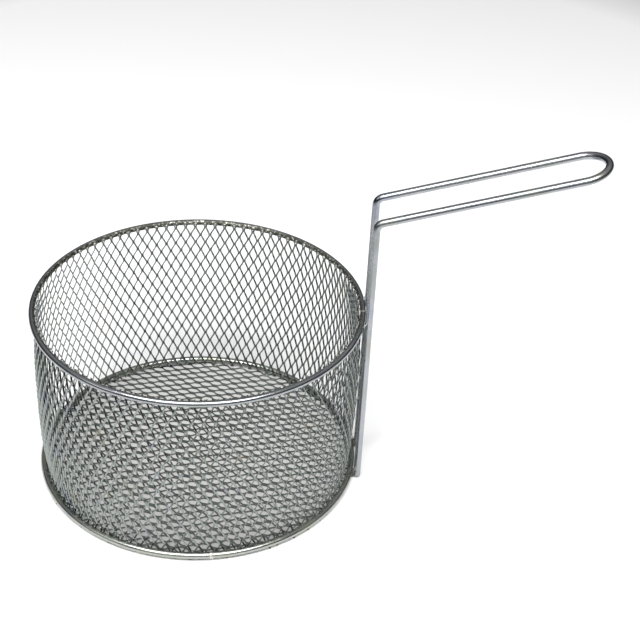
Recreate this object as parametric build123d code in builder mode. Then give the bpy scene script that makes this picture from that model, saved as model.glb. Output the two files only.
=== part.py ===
from build123d import *
import os
from math import asin, atan2, cos, degrees, radians, sin, sqrt

# Round mesh basket with a long wire handle, all bright zinc-plated steel, welded into one rigid piece.
# Millimetres. +Z is up and z = 0 is the surface that the basket stands on.
# The origin is on the basket's axis, and +X is the way the handle points.

# Rim and base hoops. A hoop's diameter is taken between the centres of its wire.
rim_diameter = 240.0
rim_wire_diameter = 4.5
base_diameter = 240.0
base_wire_diameter = 5.0
basket_height = 142.0  # from the floor to the top of the rim wire

# Expanded-metal mesh. Its side and floor are thin closed solids that weigh what the open mesh weighs.
mesh_thickness = 1.2  # over the raised strands, which is the height of the floor's flat edge
mesh_solid_thickness = 0.4  # the steel of the open mesh, spread evenly
mesh_top_margin = 1.2  # how far the side reaches above the middle of the rim wire
floor_edge_overhang = 1.5  # how far the floor's cut edge reaches past the middle of the base wire
floor_edge_width = 8.0

# Handle: one wire, bent into two legs and a long loop.
handle_wire_diameter = 5.5
leg_spacing = 37.0
leg_foot_height = 1.6  # the cut ends of the legs, above the floor
handle_rise = 85.0  # from the middle of the rim wire up to the bend
grip_length = 161.0  # from the bend to the middle of the wire at the tip of the loop
grip_slope = 17.0  # degrees above level
bend_radius = 6.5
wire_end_chamfer = 0.5

# Welds. Wires and mesh lie a small gap apart, and the welds fill it.
wire_weld_gap = 0.3
mesh_weld_gap = 0.2
wire_weld_radius = 1.9
wire_weld_reach = 1.4
spot_weld_radius = 1.1
spot_weld_reach = 0.9
rim_spot_weld_count = 50
base_spot_weld_count = 54
floor_spot_weld_count = 24
seam_spot_weld_count = 6
seam_spot_weld_height = 0.5
butt_weld_length = 1.6
butt_weld_upset = 0.5  # how much thicker the weld is than the wire
rim_butt_weld_azimuth = 0.0
base_butt_weld_azimuth = -80.0  # midway between two spot welds

# Places that follow from the sizes above.
rim_radius = rim_diameter / 2
base_radius = base_diameter / 2
rim_height = basket_height - rim_wire_diameter / 2
base_ring_height = mesh_thickness + mesh_weld_gap + base_wire_diameter / 2
mesh_radius_at_rim = rim_radius - rim_wire_diameter / 2 - mesh_weld_gap
mesh_radius_at_base = base_radius - base_wire_diameter / 2 - mesh_weld_gap
mesh_taper = (mesh_radius_at_rim - mesh_radius_at_base) / (rim_height - base_ring_height)
mesh_lean = degrees(atan2(mesh_taper, 1))
mesh_top = rim_height + mesh_top_margin

handle_wire_radius = handle_wire_diameter / 2
leg_side = leg_spacing / 2
leg_reach_at_rim = rim_radius + rim_wire_diameter / 2 + wire_weld_gap + handle_wire_radius
leg_reach_at_base = base_radius + base_wire_diameter / 2 + wire_weld_gap + handle_wire_radius
leg_x_at_rim = sqrt(leg_reach_at_rim**2 - leg_side**2)
leg_x_at_base = sqrt(leg_reach_at_base**2 - leg_side**2)
leg_lean = (leg_x_at_rim - leg_x_at_base) / (rim_height - base_ring_height)
bend_height = rim_height + handle_rise


def mesh_radius(height):
    """Outer radius of the basket's side at a height."""
    return mesh_radius_at_base + mesh_taper * (height - base_ring_height)


def leg_x(height):
    """How far out the middle of a leg stands at a height."""
    return leg_x_at_base + leg_lean * (height - base_ring_height)


def section_plane(azimuth):
    """Upright plane through the axis: local x points outwards at the azimuth and local y points up."""
    turn = radians(azimuth)
    return Plane(origin=(0, 0, 0), x_dir=(cos(turn), sin(turn), 0), z_dir=(sin(turn), -cos(turn), 0))


def outward_plane(azimuth, radius, height, lean=0.0):
    """Plane whose normal points outwards at the azimuth, tipped down by the lean of a tapered wall."""
    turn = radians(azimuth)
    dip = radians(lean)
    outward = (cos(turn) * cos(dip), sin(turn) * cos(dip), -sin(dip))
    across = (-sin(turn), cos(turn), 0)
    return Plane(origin=(radius * cos(turn), radius * sin(turn), height), x_dir=across, z_dir=outward)


def around(count):
    """Azimuths of evenly spaced welds, which leave the middle of the handle clear."""
    step = 360 / count
    return [step * (place + 0.5) for place in range(count)]


# Angle that a butt weld takes out of each hoop.
rim_weld_angle = degrees(butt_weld_length / rim_radius)
base_weld_angle = degrees(butt_weld_length / base_radius)

# Side of the basket: a strip of mesh rolled into a drum, which narrows a little where the thicker wire is.
with BuildPart() as side_mesh:
    with BuildSketch(Plane.XZ):
        with BuildLine():
            Polyline(
                (mesh_radius(mesh_thickness), mesh_thickness),
                (mesh_radius(mesh_top), mesh_top),
                (mesh_radius(mesh_top) - mesh_solid_thickness, mesh_top),
                (mesh_radius(mesh_thickness) - mesh_solid_thickness, mesh_thickness),
                close=True,
            )
        make_face()
    revolve(axis=Axis.Z)
side_mesh.part.label = "side_mesh"

# Floor of the basket: a disc of mesh whose cut edge lies under the base hoop.
floor_radius = base_radius + floor_edge_overhang
with BuildPart() as base_mesh:
    with BuildSketch():
        Circle(floor_radius)
    extrude(amount=mesh_thickness)
    with BuildSketch(Plane.XY.offset(mesh_thickness)):
        Circle(floor_radius - floor_edge_width)
    extrude(amount=mesh_solid_thickness - mesh_thickness, mode=Mode.SUBTRACT)
base_mesh.part.label = "base_mesh"

# Rim hoop: round wire, rolled and closed by a butt weld behind the handle.
with BuildPart() as rim_ring:
    with BuildSketch(section_plane(rim_butt_weld_azimuth + rim_weld_angle / 2)):
        with Locations((rim_radius, rim_height)):
            Circle(rim_wire_diameter / 2)
    revolve(axis=Axis.Z, revolution_arc=360 - rim_weld_angle)
rim_ring.part.label = "rim_ring"

with BuildPart() as rim_butt_weld:
    with BuildSketch(section_plane(rim_butt_weld_azimuth - rim_weld_angle / 2)):
        with Locations((rim_radius, rim_height)):
            Circle((rim_wire_diameter + butt_weld_upset) / 2)
    revolve(axis=Axis.Z, revolution_arc=rim_weld_angle)
    # The weld is dressed flush where it meets the side mesh.
    add(side_mesh.part, mode=Mode.SUBTRACT)
rim_butt_weld.part.label = "rim_butt_weld"

# Base hoop: thicker wire, standing on the edge of the floor mesh.
with BuildPart() as base_ring:
    with BuildSketch(section_plane(base_butt_weld_azimuth + base_weld_angle / 2)):
        with Locations((base_radius, base_ring_height)):
            Circle(base_wire_diameter / 2)
    revolve(axis=Axis.Z, revolution_arc=360 - base_weld_angle)
base_ring.part.label = "base_ring"

with BuildPart() as base_butt_weld:
    with BuildSketch(section_plane(base_butt_weld_azimuth - base_weld_angle / 2)):
        with Locations((base_radius, base_ring_height)):
            Circle((base_wire_diameter + butt_weld_upset) / 2)
    revolve(axis=Axis.Z, revolution_arc=base_weld_angle)
    # The weld is dressed flush where it meets the floor mesh and the side mesh.
    add(base_mesh.part, mode=Mode.SUBTRACT)
    add(side_mesh.part, mode=Mode.SUBTRACT)
base_butt_weld.part.label = "base_butt_weld"

# Handle: up one leg, out along the grip, round the tip, back and down the other leg.
grip_turn = radians(grip_slope)
grip_straight = grip_length - leg_side
tip_start_x = leg_x(bend_height) + grip_straight * cos(grip_turn)
tip_start_z = bend_height + grip_straight * sin(grip_turn)
tip_x = leg_x(bend_height) + grip_length * cos(grip_turn)
tip_z = bend_height + grip_length * sin(grip_turn)
with BuildPart() as handle_wire:
    with BuildLine() as handle_path:
        FilletPolyline(
            (leg_x(leg_foot_height), -leg_side, leg_foot_height),
            (leg_x(bend_height), -leg_side, bend_height),
            (tip_start_x, -leg_side, tip_start_z),
            radius=bend_radius,
        )
        ThreePointArc(
            (tip_start_x, -leg_side, tip_start_z),
            (tip_x, 0, tip_z),
            (tip_start_x, leg_side, tip_start_z),
        )
        FilletPolyline(
            (tip_start_x, leg_side, tip_start_z),
            (leg_x(bend_height), leg_side, bend_height),
            (leg_x(leg_foot_height), leg_side, leg_foot_height),
            radius=bend_radius,
        )
    with BuildSketch(Plane(origin=handle_path.line @ 0, z_dir=handle_path.line % 0)):
        Circle(handle_wire_radius)
    sweep()
    cut_ends = handle_wire.faces().filter_by(GeomType.PLANE)
    chamfer(cut_ends.edges(), length=wire_end_chamfer)
handle_wire.part.label = "handle_wire"

# Welds that hold the legs to the two hoops, each filling the gap where the wires cross.
leg_azimuth_at_rim = degrees(asin(leg_side / leg_reach_at_rim))
leg_azimuth_at_base = degrees(asin(leg_side / leg_reach_at_base))
with BuildPart() as leg_rim_welds:
    start = rim_radius + rim_wire_diameter / 2 - wire_weld_reach
    planes = [outward_plane(side * leg_azimuth_at_rim, start, rim_height) for side in (-1, 1)]
    with BuildSketch(*planes):
        Circle(wire_weld_radius)
    extrude(amount=2 * wire_weld_reach + wire_weld_gap)
    add(rim_ring.part, mode=Mode.SUBTRACT)
    add(handle_wire.part, mode=Mode.SUBTRACT)
leg_rim_welds.part.label = "leg_rim_welds"

with BuildPart() as leg_base_welds:
    start = base_radius + base_wire_diameter / 2 - wire_weld_reach
    planes = [outward_plane(side * leg_azimuth_at_base, start, base_ring_height) for side in (-1, 1)]
    with BuildSketch(*planes):
        Circle(wire_weld_radius)
    extrude(amount=2 * wire_weld_reach + wire_weld_gap)
    add(base_ring.part, mode=Mode.SUBTRACT)
    add(handle_wire.part, mode=Mode.SUBTRACT)
leg_base_welds.part.label = "leg_base_welds"

# Spot welds between the mesh and the hoops.
with BuildPart() as rim_spot_welds:
    start = mesh_radius_at_rim - mesh_solid_thickness / 2
    places = around(rim_spot_weld_count)
    with BuildSketch(*[outward_plane(place, start, rim_height, mesh_lean) for place in places]):
        Circle(spot_weld_radius)
    extrude(amount=mesh_solid_thickness / 2 + spot_weld_reach)
    add(rim_ring.part, mode=Mode.SUBTRACT)
    add(side_mesh.part, mode=Mode.SUBTRACT)
rim_spot_welds.part.label = "rim_spot_welds"

with BuildPart() as base_spot_welds:
    start = mesh_radius_at_base - mesh_solid_thickness / 2
    places = around(base_spot_weld_count)
    with BuildSketch(*[outward_plane(place, start, base_ring_height, mesh_lean) for place in places]):
        Circle(spot_weld_radius)
    extrude(amount=mesh_solid_thickness / 2 + spot_weld_reach)
    add(base_ring.part, mode=Mode.SUBTRACT)
    add(side_mesh.part, mode=Mode.SUBTRACT)
base_spot_welds.part.label = "base_spot_welds"

with BuildPart() as floor_spot_welds:
    with BuildSketch(Plane.XY.offset(mesh_thickness)):
        with PolarLocations(base_radius, floor_spot_weld_count, start_angle=180 / floor_spot_weld_count):
            Circle(spot_weld_radius)
    extrude(amount=spot_weld_reach)
    add(base_ring.part, mode=Mode.SUBTRACT)
floor_spot_welds.part.label = "floor_spot_welds"

# Spot welds down the lapped seam of the side mesh, between the legs.
with BuildPart() as seam_spot_welds:
    pitch = (rim_height - base_ring_height) / (seam_spot_weld_count + 1)
    heights = [base_ring_height + pitch * (place + 1) for place in range(seam_spot_weld_count)]
    with BuildSketch(*[outward_plane(0, mesh_radius(height), height, mesh_lean) for height in heights]):
        Circle(spot_weld_radius)
    extrude(amount=seam_spot_weld_height)
    add(side_mesh.part, mode=Mode.SUBTRACT)
seam_spot_welds.part.label = "seam_spot_welds"

os.makedirs("parts", exist_ok=True)
for piece in (
    side_mesh,
    base_mesh,
    rim_ring,
    rim_butt_weld,
    base_ring,
    base_butt_weld,
    handle_wire,
    leg_rim_welds,
    leg_base_welds,
    rim_spot_welds,
    base_spot_welds,
    floor_spot_welds,
    seam_spot_welds,
):
    export_step(piece.part, f"parts/{piece.part.label}.step")
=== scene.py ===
import math
import random

import bmesh
import bpy
from mathutils import Matrix, Vector, noise


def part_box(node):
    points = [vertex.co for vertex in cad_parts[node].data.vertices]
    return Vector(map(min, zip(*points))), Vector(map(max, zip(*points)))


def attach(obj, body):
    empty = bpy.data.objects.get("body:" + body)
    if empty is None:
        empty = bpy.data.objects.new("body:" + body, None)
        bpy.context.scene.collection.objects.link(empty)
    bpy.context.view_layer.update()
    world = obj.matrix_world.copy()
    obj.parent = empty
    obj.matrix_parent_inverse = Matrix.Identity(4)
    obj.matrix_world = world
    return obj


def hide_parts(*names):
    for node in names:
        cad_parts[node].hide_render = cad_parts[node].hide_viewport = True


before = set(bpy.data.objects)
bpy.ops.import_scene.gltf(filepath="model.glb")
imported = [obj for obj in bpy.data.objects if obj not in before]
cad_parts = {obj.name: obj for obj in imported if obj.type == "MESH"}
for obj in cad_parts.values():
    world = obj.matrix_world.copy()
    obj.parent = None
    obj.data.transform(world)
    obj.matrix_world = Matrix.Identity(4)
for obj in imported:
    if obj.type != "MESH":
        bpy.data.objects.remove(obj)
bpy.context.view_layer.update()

# Round expanded-metal basket with wire hoops and a long wire handle.
# Metres, in the frame of the CAD model: +Z up, z = 0 the floor, +X the way the handle points.
random.seed(7)
MM = 0.001

# Sizes read from the CAD nodes.
rim_low, rim_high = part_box("rim_ring")
rim_wire_radius = (rim_high.z - rim_low.z) / 2
rim_radius = rim_high.y - rim_wire_radius
rim_height = (rim_high.z + rim_low.z) / 2
base_low, base_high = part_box("base_ring")
base_wire_radius = (base_high.z - base_low.z) / 2
base_radius = base_high.y - base_wire_radius
base_height = (base_high.z + base_low.z) / 2
side_low, side_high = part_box("side_mesh")
floor_low, floor_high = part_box("base_mesh")
wall_taper = (rim_radius - rim_wire_radius - base_radius + base_wire_radius) / (rim_height - base_height)


def wall_radius(height):
    """Outer radius of the mesh wall at a height."""
    return side_high.y - wall_taper * (side_high.z - height)


def ring_point(azimuth, radius, height):
    """Point at an azimuth in degrees."""
    turn = math.radians(azimuth)
    return Vector((radius * math.cos(turn), radius * math.sin(turn), height))


def smooth_step(value):
    """0 below 0, 1 above 1 and smooth between."""
    value = min(1.0, max(0.0, value))
    return value * value * (3 - 2 * value)


# Expanded metal, in millimetres of the sheet: each strand zigzags between bonds with its neighbours.
LONG_PITCH = 14.9
SHORT_PITCH = 7.79
SECTION_SIDES = 8
CORNER_CUT = 0.24  # share of a strand's thickness that its corners lose
JITTER = 0.11
SHORTEST_STEP = 0.02


class Strands:
    """Zigzag strands of one piece of expanded metal, swept into one mesh."""

    def __init__(self, name, width, thickness, tilt, half_bond, place):
        self.name = name
        self.half_bond = half_bond
        self.width = width
        self.thickness = thickness
        self.tilt = math.radians(tilt)
        self.place = place
        self.mesh = bmesh.new()
        self.wobble = {}

    def bond_shift(self, node_column, bond):
        """The same small error of place for both strands that meet at a bond."""
        key = (node_column, bond)
        if key not in self.wobble:
            self.wobble[key] = tuple(random.gauss(0, spread) for spread in (JITTER, JITTER, JITTER / 2))
        return self.wobble[key]

    def bond_centre(self, column, bond, along_start):
        """Across, along and depth of a strand's middle where it bonds with its neighbour."""
        on_left = (column + bond) % 2 == 0
        node_column = column if on_left else column + 1
        shift = self.bond_shift(node_column, bond)
        reach = self.width / 2 * (1 if on_left else -1)
        across = node_column * SHORT_PITCH / 2 + reach * math.cos(self.tilt) + shift[0]
        depth = reach * math.sin(self.tilt) + shift[2]
        return across, along_start + bond * LONG_PITCH / 2 + shift[1], depth

    def path(self, column, first_bond, last_bond, along_start):
        """Middle of a strand, bond by bond."""
        points = []
        for bond in range(first_bond, last_bond + 1):
            across, along, depth = self.bond_centre(column, bond, along_start)
            if points:
                before = points[-1]
                bow = random.gauss(0, JITTER / 2)
                middle = [(a + b) / 2 for a, b in zip(before, (across, along - self.half_bond, depth))]
                points.append((middle[0] + bow, middle[1], middle[2] + bow))
            points.append((across, along - self.half_bond, depth))
            points.append((across, along + self.half_bond, depth))
        return points

    def clip(self, points, low, high):
        """The stretch of a path between two places along the sheet, cut square."""
        kept = []
        for start, end in zip(points, points[1:]):
            span = end[1] - start[1]
            if span <= 0 or end[1] <= low or start[1] >= high:
                continue
            for along in (start[1], end[1]):
                cut = min(high, max(low, along))
                share = (cut - start[1]) / span
                point = tuple(a + (b - a) * share for a, b in zip(start, end))
                if not kept or point[1] > kept[-1][1] + SHORTEST_STEP:
                    kept.append(point)
        return kept

    def section(self):
        """Corners of a strand's cut end about its middle: across and depth."""
        half_width = self.width / 2
        half_thick = self.thickness / 2
        cut = self.thickness * CORNER_CUT
        corners = []
        for u, v in (
            (half_width, half_thick - cut),
            (half_width - cut, half_thick),
            (cut - half_width, half_thick),
            (-half_width, half_thick - cut),
            (-half_width, cut - half_thick),
            (cut - half_width, -half_thick),
            (half_width - cut, -half_thick),
            (half_width, cut - half_thick),
        ):
            across = u * math.cos(self.tilt) - v * math.sin(self.tilt)
            depth = u * math.sin(self.tilt) + v * math.cos(self.tilt)
            corners.append((across, depth))
        return corners

    def sweep(self, points):
        """Adds one strand to the mesh."""
        if len(points) < 2:
            return
        rings = []
        for across, along, depth in points:
            ring = [
                self.mesh.verts.new(self.place(across + corner[0], along, depth + corner[1]))
                for corner in self.section()
            ]
            rings.append(ring)
        for near, far in zip(rings, rings[1:]):
            for side in range(SECTION_SIDES):
                following = (side + 1) % SECTION_SIDES
                self.mesh.faces.new((near[side], near[following], far[following], far[side]))
        self.mesh.faces.new(list(reversed(rings[0])))
        self.mesh.faces.new(rings[-1])

    def finish(self):
        """The finished object."""
        return mesh_object(self.name, self.mesh)


SHEET_SMOOTH_ANGLE = 35
BEAD_SMOOTH_ANGLE = 60
BUTT_SMOOTH_ANGLE = 50


def mesh_object(name, mesh, smooth_angle=SHEET_SMOOTH_ANGLE):
    """Object from a bmesh, with outward normals and edges sharper than the angle kept sharp."""
    bmesh.ops.recalc_face_normals(mesh, faces=mesh.faces)
    limit = math.radians(smooth_angle)
    for face in mesh.faces:
        face.smooth = True
    for edge in mesh.edges:
        edge.smooth = len(edge.link_faces) == 2 and edge.calc_face_angle(0) < limit
    data = bpy.data.meshes.new(name)
    mesh.to_mesh(data)
    mesh.free()
    made = bpy.data.objects.new(name, data)
    bpy.context.scene.collection.objects.link(made)
    return made


def show(made, slot, material, *nodes):
    """Puts a finished piece on the basket in place of its CAD nodes."""
    made.data.materials.clear()
    made.data.materials.append(material)
    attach(made, "root")
    if nodes:
        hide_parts(*nodes)
    return made


# Side of the basket.
SIDE_WIDTH = 1.35
SIDE_THICKNESS = 0.75
SIDE_TILT = -35
SIDE_HALF_BOND = 0.9
SIDE_COLUMNS = 188
SIDE_NODE_AZIMUTH = 1.785
SIDE_FIRST_BOND_HEIGHT = 2.85
SIDE_BONDS = 18
SEAM_COLUMNS = 3
SEAM_DEPTH = 1.6
SEAM_RAMP_COLUMNS = 14
SIDE_BULGE = 3.9
SIDE_LOW_MARGIN = 0.4
SIDE_HIGH_MARGIN = 0.1
SIDE_CLEARANCE = 0.05
EDGE_PRESSED = 0.62  # how flat the strands are pressed at the hoops
EDGE_PRESSED_HEIGHT = 1.5
EDGE_RAMP_HEIGHT = 5
BULGE_POWER = 3


def wall_bulge(height):
    """How far the slack mesh stands out between the hoops."""
    share = (height - base_height) / (rim_height - base_height)
    share = min(1.0, max(0.0, share))
    return SIDE_BULGE * (1 - abs(2 * share - 1) ** BULGE_POWER) * MM


def side_place(across, along, depth):
    """Place on the wall: across is round the basket, along is up and depth is outwards."""
    height = along * MM
    column = across / (SHORT_PITCH / 2)
    reach = (2 * SIDE_WIDTH * abs(math.sin(math.radians(SIDE_TILT))) + SIDE_THICKNESS) / 2
    from_edge = min(height - side_low.z, side_high.z - height) / MM
    rise = smooth_step((from_edge - EDGE_PRESSED_HEIGHT) / EDGE_RAMP_HEIGHT)
    pressed = EDGE_PRESSED + (1 - EDGE_PRESSED) * rise
    inset = reach * pressed + SIDE_CLEARANCE
    past = (column - SIDE_COLUMNS + SEAM_RAMP_COLUMNS) / SEAM_RAMP_COLUMNS
    inset += SEAM_DEPTH * smooth_step(past)
    radius = wall_radius(height) + wall_bulge(height) + (depth * pressed - inset) * MM
    return ring_point(SIDE_NODE_AZIMUTH + column * 360 / SIDE_COLUMNS, radius, height)


def build_side_mesh():
    """Strip of expanded metal rolled into the drum, lapped between the legs."""
    side = Strands("side_mesh_strands", SIDE_WIDTH, SIDE_THICKNESS, SIDE_TILT, SIDE_HALF_BOND, side_place)
    low = side_low.z / MM + SIDE_LOW_MARGIN
    high = side_high.z / MM - SIDE_HIGH_MARGIN
    for column in range(SIDE_COLUMNS + SEAM_COLUMNS):
        points = side.path(column, -1, SIDE_BONDS + 1, SIDE_FIRST_BOND_HEIGHT)
        side.sweep(side.clip(points, low, high))
    return side.finish()


# Floor of the basket.
FLOOR_WIDTH = 1.3
FLOOR_THICKNESS = 0.6
FLOOR_TILT = 20
FLOOR_HALF_BOND = 2.1
FLOOR_TURN = -12.0
FLOOR_MARGIN = 0.75
FLOOR_CLEARANCE = 0.02
FLOOR_LAST_COLUMN = 2.0  # no strand starts closer than this to the disc's edge
SHORTEST_STRAND = 4.0


def floor_place(across, along, depth):
    """Place on the flat floor mesh, its long pitch turned from the handle's direction."""
    turn = math.radians(FLOOR_TURN)
    x = along * math.cos(turn) - across * math.sin(turn)
    y = along * math.sin(turn) + across * math.cos(turn)
    middle = (floor_low.z + floor_high.z) / 2
    half_height = (floor_high.z - floor_low.z) / 2 - FLOOR_CLEARANCE * MM
    height = middle + min(half_height, max(-half_height, depth * MM))
    return Vector((x * MM, y * MM, height))


def build_floor_mesh():
    """Disc of expanded metal, cut round."""
    name = "floor_mesh_strands"
    disc = Strands(name, FLOOR_WIDTH, FLOOR_THICKNESS, FLOOR_TILT, FLOOR_HALF_BOND, floor_place)
    reach = floor_high.y / MM - FLOOR_MARGIN
    count = int(reach / (SHORT_PITCH / 2)) + 1
    bonds = int(reach / (LONG_PITCH / 2)) + 2
    for column in range(-count, count):
        across = (column + 0.5) * SHORT_PITCH / 2
        if abs(across) >= reach - FLOOR_LAST_COLUMN:
            continue
        chord = math.sqrt(reach**2 - across**2)
        if chord < SHORTEST_STRAND:
            continue
        points = disc.path(column, -bonds, bonds, 0.0)
        disc.sweep(disc.clip(points, -chord, chord))
    return disc.finish()


# Welds.
BEAD_SUBDIVISIONS = 2
NOISE_SEED_RANGE = 50
COARSE_NOISE = 1.3
FINE_NOISE = 3.1
FINE_SHARE = 0.5


def lump(mesh, centre, size, out, rough):
    """Adds one irregular bead of weld metal: size is along out, along the level tangent and up."""
    grown = bmesh.ops.create_icosphere(mesh, subdivisions=BEAD_SUBDIVISIONS, radius=1.0)["verts"]
    out = Vector(out).normalized()
    level = Vector((0, 0, 1)).cross(out).normalized()
    up = out.cross(level)
    seed = Vector([random.uniform(0, NOISE_SEED_RANGE) for _ in range(3)])
    for vert in grown:
        coarse = noise.noise(vert.co * COARSE_NOISE + seed)
        fine = noise.noise(vert.co * FINE_NOISE + seed)
        place = vert.co * (1 + rough * (coarse + FINE_SHARE * fine))
        vert.co = Vector(centre) + out * place.x * size[0] + level * place.y * size[1]
        vert.co += up * place.z * size[2]


def outward(azimuth):
    """Level direction away from the axis."""
    return ring_point(azimuth, 1.0, 0.0)


def bond_azimuths():
    """Azimuths of the bonds that touch the hoops."""
    step = 720 / SIDE_COLUMNS
    return [SIDE_NODE_AZIMUTH + step * place for place in range(SIDE_COLUMNS // 2)]


def bead_size(ranges):
    """Random size of a bead, from a range for each of its three directions."""
    return [random.uniform(low, high) * MM for low, high in ranges]


def build_hoop_spots(name, hoop_height, turn, rise, sink, ranges, rough):
    """Weld beads where the bonds of the wall meet the inside of a hoop."""
    mesh = bmesh.new()
    for azimuth in bond_azimuths():
        turned = azimuth + random.uniform(-turn, turn)
        height = hoop_height + random.uniform(*rise) * MM
        radius = wall_radius(height) - random.uniform(*sink) * MM
        lump(mesh, ring_point(turned, radius, height), bead_size(ranges), outward(turned), rough)
    return mesh_object(name, mesh, BEAD_SMOOTH_ANGLE)


RIM_TURN = 0.25
RIM_RISE = (-0.5, 0.9)
RIM_SINK = (0.1, 0.5)
RIM_BEADS = ((0.5, 0.8), (0.9, 1.6), (0.7, 1.3))
RIM_ROUGH = 0.45
BASE_TURN = 0.3
BASE_RISE = (-0.3, 0.9)
BASE_SINK = (0.0, 0.3)
BASE_BEADS = ((0.4, 0.6), (0.5, 0.9), (0.5, 0.8))
BASE_ROUGH = 0.4
FLOOR_BEAD_COUNT = 50
FLOOR_BEAD_DROP = 0.05
FLOOR_BEADS = ((0.8, 1.2), (0.9, 1.5), (0.35, 0.5))
FLOOR_ROUGH = 0.35
SEAM_BEAD_COUNT = 6
SEAM_BEAD_SINK = 0.2
SEAM_BEAD = (0.45, 1.0, 1.1)
SEAM_ROUGH = 0.3


def build_floor_spots():
    """Weld beads between the cut edge of the floor and the base hoop."""
    mesh = bmesh.new()
    for place in range(FLOOR_BEAD_COUNT):
        azimuth = 360 / FLOOR_BEAD_COUNT * (place + 0.5) + random.uniform(-1, 1)
        height = floor_high.z - FLOOR_BEAD_DROP * MM
        centre = ring_point(azimuth, base_radius, height)
        lump(mesh, centre, bead_size(FLOOR_BEADS), outward(azimuth), FLOOR_ROUGH)
    return mesh_object("floor_spot_beads", mesh, BEAD_SMOOTH_ANGLE)


def build_seam_spots():
    """Weld beads down the lapped seam of the wall."""
    mesh = bmesh.new()
    size = [length * MM for length in SEAM_BEAD]
    for place in range(SEAM_BEAD_COUNT):
        height = base_height + (rim_height - base_height) * (place + 1) / (SEAM_BEAD_COUNT + 1)
        radius = wall_radius(height) + wall_bulge(height) - SEAM_BEAD_SINK * MM
        lump(mesh, ring_point(0, radius, height), size, outward(0), SEAM_ROUGH)
    return mesh_object("seam_spot_beads", mesh, BEAD_SMOOTH_ANGLE)


LEG_ROUGH = 0.4
LEG_STEP = 0.5
LEG_SHIFT = 0.4
LEG_SWELL = (0.8, 1.05)


def build_leg_welds(name, node, size, drop):
    """Beads that join the two legs to a hoop, one on each side."""
    low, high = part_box(node)
    mesh = bmesh.new()
    side = high.y - (high.z - low.z) / 2
    middle = (low + high) / 2
    for way in (-1, 1):
        out = Vector((middle.x, way * side, 0)).normalized()
        for part in (-1, 0, 1):
            centre = Vector((middle.x, way * side, middle.z - drop + part * size[2] * LEG_STEP))
            centre += Vector((0, random.uniform(-LEG_SHIFT, LEG_SHIFT), 0)) * MM
            swollen = [length * random.uniform(*LEG_SWELL) for length in size]
            lump(mesh, centre, swollen, out, LEG_ROUGH)
    return mesh_object(name, mesh, BEAD_SMOOTH_ANGLE)


BUTT_HALF_LENGTH = 1.3
BUTT_UPSET = 0.28
BUTT_SINK = 0.03
BUTT_ROUGH = 0.09
BUTT_NOISE = 3
BUTT_ROWS = 9
BUTT_SIDES = 28
BUTT_SEED = (3.1, 7.7, 1.9)


def build_butt_weld(name, node, wire_radius, radius, height):
    """Upset bead round a hoop's wire where its ends meet."""
    low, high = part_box(node)
    middle = (low + high) / 2
    azimuth = math.degrees(math.atan2(middle.y, middle.x))
    half_length = BUTT_HALF_LENGTH * MM
    mesh = bmesh.new()
    rings = []
    seed = Vector(BUTT_SEED)
    for row in range(BUTT_ROWS):
        share = row / (BUTT_ROWS - 1) * 2 - 1
        bulge = (BUTT_UPSET * (1 - share**2) - BUTT_SINK) * MM
        turn = azimuth + math.degrees(half_length * share / radius)
        out = outward(turn)
        ring = []
        for side in range(BUTT_SIDES):
            angle = 2 * math.pi * side / BUTT_SIDES
            way = out * math.cos(angle) + Vector((0, 0, 1)) * math.sin(angle)
            rough = BUTT_ROUGH * MM * noise.noise(way * BUTT_NOISE + Vector((share, 0, 0)) + seed)
            centre = ring_point(turn, radius, height)
            ring.append(mesh.verts.new(centre + way * (wire_radius + bulge + rough)))
        rings.append(ring)
    for near, far in zip(rings, rings[1:]):
        for side in range(BUTT_SIDES):
            following = (side + 1) % BUTT_SIDES
            mesh.faces.new((near[side], near[following], far[following], far[side]))
    mesh.faces.new(rings[0])
    mesh.faces.new(rings[-1])
    return mesh_object(name, mesh, BUTT_SMOOTH_ANGLE)


# Materials.
def new_material(name):
    """Empty node material with a surface shader on its output."""
    material = bpy.data.materials.new(name)
    material.use_nodes = True
    tree = material.node_tree
    tree.nodes.clear()
    output = tree.nodes.new("ShaderNodeOutputMaterial")
    surface = tree.nodes.new("ShaderNodeBsdfPrincipled")
    tree.links.new(surface.outputs["BSDF"], output.inputs["Surface"])
    return material, tree, surface


def radius_node(tree, where):
    """Distance from the basket's axis."""
    flat = tree.nodes.new("ShaderNodeVectorMath")
    flat.operation = "MULTIPLY"
    flat.inputs[1].default_value = (1, 1, 0)
    tree.links.new(where, flat.inputs[0])
    length = tree.nodes.new("ShaderNodeVectorMath")
    length.operation = "LENGTH"
    tree.links.new(flat.outputs["Vector"], length.inputs[0])
    return length.outputs["Value"]


def noise_node(tree, where, scale, detail=3.0, rough=0.55):
    """Noise over the piece's own coordinates."""
    node = tree.nodes.new("ShaderNodeTexNoise")
    node.inputs["Scale"].default_value = scale
    node.inputs["Detail"].default_value = detail
    node.inputs["Roughness"].default_value = rough
    tree.links.new(where, node.inputs["Vector"])
    return node.outputs["Fac"]


def ramp_node(tree, value, stops):
    """Colour ramp of (place, colour) stops."""
    node = tree.nodes.new("ShaderNodeValToRGB")
    ramp = node.color_ramp
    while len(ramp.elements) < len(stops):
        ramp.elements.new(0.5)
    for element, (place, colour) in zip(ramp.elements, stops):
        element.position = place
        element.color = (*colour, 1.0)
    tree.links.new(value, node.inputs["Fac"])
    return node.outputs["Color"]


def mix_colours(tree, share, first, second):
    """Mix of two colours by a socket's value."""
    node = tree.nodes.new("ShaderNodeMix")
    node.data_type = "RGBA"
    tree.links.new(share, node.inputs["Factor"])
    tree.links.new(first, node.inputs[6])
    tree.links.new(second, node.inputs[7])
    return node.outputs[2]


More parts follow.
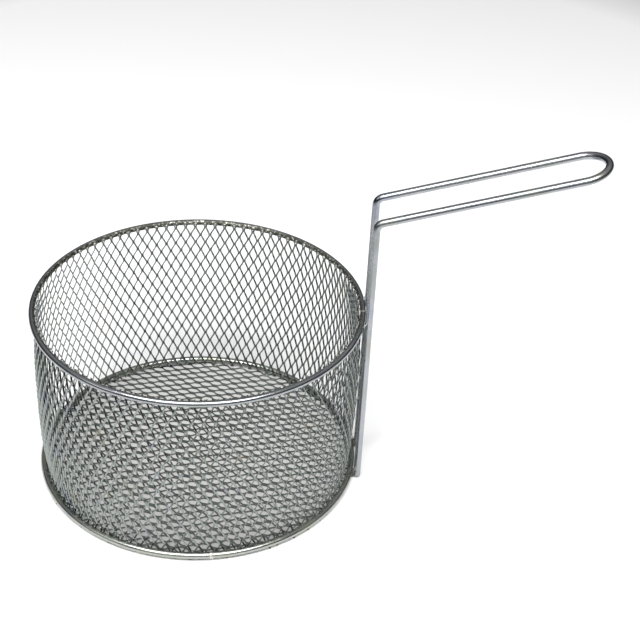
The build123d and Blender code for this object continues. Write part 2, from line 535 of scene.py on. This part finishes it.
def map_node(tree, value, low, high, to_low, to_high):
    """Value moved from one range to another."""
    node = tree.nodes.new("ShaderNodeMapRange")
    node.inputs["From Min"].default_value = low
    node.inputs["From Max"].default_value = high
    node.inputs["To Min"].default_value = to_low
    node.inputs["To Max"].default_value = to_high
    tree.links.new(value, node.inputs["Value"])
    return node.outputs["Result"]


def bump_node(tree, height, strength, distance, below=None):
    """Bump, on top of another bump if given."""
    node = tree.nodes.new("ShaderNodeBump")
    node.inputs["Strength"].default_value = strength
    node.inputs["Distance"].default_value = distance
    tree.links.new(height, node.inputs["Height"])
    if below is not None:
        tree.links.new(below, node.inputs["Normal"])
    return node.outputs["Normal"]


# Scales of the noises in the zinc plate, in steps to the metre.
CLOUD_SCALE = 42.0
SPANGLE_SCALE = 320.0
PIT_SCALE = 1500.0
WAVE_SCALE = 130.0
FLECK_SCALE = 520.0
SHADE_PLACES = (0.30, 0.45, 0.58, 0.72)
# Colours of a hoop's inner side: partly weld marks, partly painted shade of the dark inside of the basket.
INNER_FLECK_AND_SHADE_STOPS = ((0.42, (0.07, 0.07, 0.06)), (0.58, (0.18, 0.18, 0.15)), (0.68, (0.75, 0.75, 0.70)))
INNER_ROUGH = 0.55
INNER_DEPTH = 0.0012
PIT_STRENGTH = 0.18
PIT_DEPTH = 0.00005
WAVE_DEPTH = 0.0004


def zinc_material(name, dull, shades, stain, rough_low, rough_high, metal, dents, inner_side=None):
    """Zinc plate with cloudy tints, duller blotches and fine pits. A hoop may be rough on its inner side,
    and there its colour is darkened with pale flecks: partly weld marks, partly painted shade.
    """
    material, tree, surface = new_material(name)
    where = tree.nodes.new("ShaderNodeTexCoord").outputs["Object"]
    clouds = noise_node(tree, where, CLOUD_SCALE, 4.0)
    spangle = noise_node(tree, where, SPANGLE_SCALE, 3.0)
    pits = noise_node(tree, where, PIT_SCALE, 2.0, 0.6)
    waves = noise_node(tree, where, WAVE_SCALE, 2.0, 0.5)
    tint = ramp_node(tree, clouds, tuple(zip(SHADE_PLACES, shades)))
    worn = ramp_node(tree, spangle, ((0.35, stain), (0.75, shades[1])))
    share = map_node(tree, spangle, 0.50, 0.74, 0.0, dull)
    colour = mix_colours(tree, share, tint, worn)
    rough = map_node(tree, clouds, 0.35, 0.68, rough_low, rough_high)
    if inner_side is not None:
        radius = radius_node(tree, where)
        inside = map_node(tree, radius, inner_side, inner_side - INNER_DEPTH, 0.0, 1.0)
        # The inner side's colour is darkened with flecks: partly weld marks, partly painted shade.
        fleck = noise_node(tree, where, FLECK_SCALE, 2.0, 0.6)
        colour = mix_colours(tree, inside, colour, ramp_node(tree, fleck, INNER_FLECK_AND_SHADE_STOPS))
        rough = map_node(tree, inside, 0.0, 1.0, rough_low, INNER_ROUGH)
    tree.links.new(colour, surface.inputs["Base Color"])
    tree.links.new(rough, surface.inputs["Roughness"])
    surface.inputs["Metallic"].default_value = metal
    fine = bump_node(tree, pits, PIT_STRENGTH, PIT_DEPTH)
    tree.links.new(bump_node(tree, waves, dents, WAVE_DEPTH, fine), surface.inputs["Normal"])
    return material


WIRE_SHADES = ((0.30, 0.32, 0.37), (0.37, 0.38, 0.40), (0.33, 0.36, 0.37), (0.34, 0.34, 0.31))
MESH_SHADES = ((0.20, 0.22, 0.25), (0.27, 0.29, 0.28), (0.24, 0.27, 0.26), (0.26, 0.25, 0.20))
BASE_SHADES = ((0.30, 0.32, 0.32), (0.38, 0.39, 0.36), (0.34, 0.37, 0.32), (0.37, 0.36, 0.28))
WELD_SHADES = ((0.34, 0.34, 0.33), (0.62, 0.62, 0.58), (0.42, 0.42, 0.38), (0.70, 0.70, 0.66))
BURNT_SHADES = ((0.05, 0.045, 0.04), (0.12, 0.11, 0.09), (0.20, 0.19, 0.17), (0.08, 0.06, 0.05))

WIRE_STAIN = (0.36, 0.37, 0.35)
BASE_STAIN = (0.32, 0.33, 0.29)
MESH_STAIN = (0.15, 0.16, 0.14)
WELD_STAIN = (0.22, 0.21, 0.17)
BURNT_STAIN = (0.04, 0.03, 0.03)

wire_zinc = zinc_material("wire_zinc", 0.5, WIRE_SHADES, WIRE_STAIN, 0.20, 0.34, 1.0, 0.5)
rim_zinc = zinc_material("rim_zinc", 0.5, WIRE_SHADES, WIRE_STAIN, 0.20, 0.34, 1.0, 0.5, rim_radius)
base_zinc = zinc_material("base_zinc", 0.5, BASE_SHADES, BASE_STAIN, 0.20, 0.34, 1.0, 0.5)
mesh_zinc = zinc_material("mesh_zinc", 0.6, MESH_SHADES, MESH_STAIN, 0.10, 0.24, 1.0, 0.2)
weld_zinc = zinc_material("weld_zinc", 0.7, WELD_SHADES, WELD_STAIN, 0.34, 0.6, 1.0, 0.9)
burnt_zinc = zinc_material("burnt_weld", 0.8, BURNT_SHADES, BURNT_STAIN, 0.45, 0.75, 0.8, 0.9)


def show_cad_wires():
    """The three wires keep their CAD shape and take the zinc finish."""
    for node, finish in (("rim_ring", rim_zinc), ("base_ring", base_zinc), ("handle_wire", wire_zinc)):
        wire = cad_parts[node]
        wire.data.materials.clear()
        wire.data.materials.append(finish)


show(build_side_mesh(), "mesh", mesh_zinc, "side_mesh")
show(build_floor_mesh(), "mesh", mesh_zinc, "base_mesh")
show_cad_wires()
rim_spots = build_hoop_spots(
    "rim_spot_beads", rim_height, RIM_TURN, RIM_RISE, RIM_SINK, RIM_BEADS, RIM_ROUGH
)
show(rim_spots, "weld", weld_zinc, "rim_spot_welds")
base_spots = build_hoop_spots(
    "base_spot_beads", base_height, BASE_TURN, BASE_RISE, BASE_SINK, BASE_BEADS, BASE_ROUGH
)
show(base_spots, "weld", weld_zinc, "base_spot_welds")
show(build_floor_spots(), "weld", weld_zinc, "floor_spot_welds")
show(build_seam_spots(), "weld", weld_zinc, "seam_spot_welds")
rim_leg_size = (1.1 * MM, 1.7 * MM, 1.8 * MM)
base_leg_size = (1.7 * MM, 2.7 * MM, 2.4 * MM)
base_leg_drop = 0.3 * MM
leg_rim = build_leg_welds("leg_rim_beads", "leg_rim_welds", rim_leg_size, 0.0)
show(leg_rim, "weld", weld_zinc, "leg_rim_welds")
leg_base = build_leg_welds("leg_base_beads", "leg_base_welds", base_leg_size, base_leg_drop)
show(leg_base, "weld", burnt_zinc, "leg_base_welds")
rim_butt = build_butt_weld("rim_butt_bead", "rim_butt_weld", rim_wire_radius, rim_radius, rim_height)
base_butt = build_butt_weld("base_butt_bead", "base_butt_weld", base_wire_radius, base_radius, base_height)
show(rim_butt, "weld", weld_zinc, "rim_butt_weld")
show(base_butt, "weld", weld_zinc, "base_butt_weld")


# Floor, light and camera.
FLOOR_HALF = 4.0
STAGE_DROP = 0.05
# Painted shadow: floor colour beneath the basket, darker than the pale floor around it.
STAGE_PAINTED_SHADOW = (0.51, 0.505, 0.49)
STAGE_PALE = (0.95, 0.95, 0.95)
# Painted shade: the floor turns dark away from the basket, standing for the unlit room that the wires
# reflect.
STAGE_FAR_SHADE_START = (0.16, 0.16, 0.16)
STAGE_FAR_SHADE = (0.13, 0.13, 0.135)
STAGE_OVAL_CENTRE = (0.1, 0.45, 0)
STAGE_OVAL_SCALE = (0.85, 1.0, 1.0)
STAGE_FALL_START = 0.72
STAGE_FALL_END = 1.15
STAGE_ROUGH = 0.9
STAGE_SPECULAR = 0.1


def build_stage():
    """Pale floor with a painted shadow beneath the basket and painted shade far away, where the wires
    reflect it.
    """
    mesh = bmesh.new()
    signs = ((-1, -1), (1, -1), (1, 1), (-1, 1))
    corners = [mesh.verts.new((x * FLOOR_HALF, y * FLOOR_HALF, 0)) for x, y in signs]
    mesh.faces.new(corners)
    ground = mesh_object("stage_floor", mesh)
    ground.location.z = -STAGE_DROP * MM
    material, tree, surface = new_material("pale_floor")
    where = tree.nodes.new("ShaderNodeTexCoord").outputs["Object"]
    # Painted shadow: the floor is coloured darker beneath the basket, from the hoop inwards.
    inner = base_radius - 2 * base_wire_radius
    outer = base_radius + base_wire_radius
    painted_shadow_share = map_node(tree, radius_node(tree, where), inner, outer, 0.0, 1.0)
    shaded = ramp_node(tree, painted_shadow_share, ((0.0, STAGE_PAINTED_SHADOW), (1.0, STAGE_PALE)))
    oval = tree.nodes.new("ShaderNodeMapping")
    oval.vector_type = "TEXTURE"
    oval.inputs["Location"].default_value = STAGE_OVAL_CENTRE
    oval.inputs["Scale"].default_value = STAGE_OVAL_SCALE
    tree.links.new(where, oval.inputs["Vector"])
    # Painted shade: the floor colour darkens with distance in an oval round the basket.
    distance = radius_node(tree, oval.outputs["Vector"])
    fall = map_node(tree, distance, STAGE_FALL_START, STAGE_FALL_END, 0.0, 1.0)
    edge = ramp_node(tree, fall, ((0.0, STAGE_FAR_SHADE_START), (1.0, STAGE_FAR_SHADE)))
    colour = mix_colours(tree, fall, shaded, edge)
    tree.links.new(colour, surface.inputs["Base Color"])
    surface.inputs["Roughness"].default_value = STAGE_ROUGH
    surface.inputs["Specular IOR Level"].default_value = STAGE_SPECULAR
    ground.data.materials.append(material)


def area_light(name, place, target, size, power):
    """Soft rectangular light."""
    data = bpy.data.lights.new(name, "AREA")
    data.shape = "RECTANGLE"
    data.size = size[0]
    data.size_y = size[1]
    data.energy = power
    lamp = bpy.data.objects.new(name, data)
    lamp.location = place
    way = Vector(target) - Vector(place)
    lamp.rotation_mode = "QUATERNION"
    lamp.rotation_quaternion = way.to_track_quat("-Z", "Y")
    bpy.context.scene.collection.objects.link(lamp)


# Brightness of the surroundings against height, from -1 straight down to 1 straight up, moved to 0 to 1.
WORLD_STOPS = (
    (0.40, (0.10, 0.10, 0.10)),
    (0.50, (0.02, 0.02, 0.022)),
    (0.62, (0.05, 0.05, 0.055)),
    (0.85, (0.40, 0.40, 0.40)),
)


def build_world():
    """Surroundings that are dark near the horizon and paler above."""
    world = bpy.data.worlds.new("studio")
    bpy.context.scene.world = world
    world.use_nodes = True
    tree = world.node_tree
    tree.nodes.clear()
    output = tree.nodes.new("ShaderNodeOutputWorld")
    back = tree.nodes.new("ShaderNodeBackground")
    tree.links.new(back.outputs["Background"], output.inputs["Surface"])
    where = tree.nodes.new("ShaderNodeTexCoord").outputs["Generated"]
    split = tree.nodes.new("ShaderNodeSeparateXYZ")
    tree.links.new(where, split.inputs["Vector"])
    shade = ramp_node(tree, map_node(tree, split.outputs["Z"], -1.0, 1.0, 0.0, 1.0), WORLD_STOPS)
    tree.links.new(shade, back.inputs["Color"])
    back.inputs["Strength"].default_value = 1.0


CAMERA_PITCH = math.radians(33.802)
CAMERA_ROLL = math.radians(3.336)
CAMERA_TURN = math.radians(-0.14)
CAMERA_SHIFT = (-0.09501, -0.10404, 1.03642)
CAMERA_LENS = 73.84
CAMERA_SENSOR = 36.0
CAMERA_NEAR = 0.05
CAMERA_FAR = 20.0


def build_camera():
    """Camera at the picture's viewing angle."""
    forward = Vector((0, math.cos(CAMERA_PITCH), -math.sin(CAMERA_PITCH)))
    level_up = Vector((0, math.sin(CAMERA_PITCH), math.cos(CAMERA_PITCH)))
    level_right = Vector((1, 0, 0))
    right = level_right * math.cos(CAMERA_ROLL) + level_up * math.sin(CAMERA_ROLL)
    up = level_up * math.cos(CAMERA_ROLL) - level_right * math.sin(CAMERA_ROLL)
    place = -(right * CAMERA_SHIFT[0] + up * CAMERA_SHIFT[1] + forward * CAMERA_SHIFT[2])
    turn = Matrix.Rotation(CAMERA_TURN, 3, "Z")
    axes = Matrix((turn @ right, turn @ up, turn @ -forward)).transposed()
    data = bpy.data.cameras.new("camera")
    data.sensor_width = CAMERA_SENSOR
    data.lens = CAMERA_LENS
    data.clip_start = CAMERA_NEAR
    data.clip_end = CAMERA_FAR
    camera = bpy.data.objects.new("camera", data)
    camera.matrix_world = Matrix.Translation(turn @ place) @ axes.to_4x4()
    bpy.context.scene.collection.objects.link(camera)
    bpy.context.scene.camera = camera


build_stage()
build_world()
area_light("top_soft", (0.0, -1.0, 2.0), (0, 0, 0.05), (2.4, 1.3), 76)
area_light("front_soft", (0.0, -1.9, 0.95), (0, 0, 0.08), (1.8, 0.8), 3)
area_light("left_soft", (-1.6, -0.9, 1.3), (0, 0, 0.08), (0.9, 0.8), 3)
build_camera()
bpy.context.scene.view_settings.view_transform = "Standard"
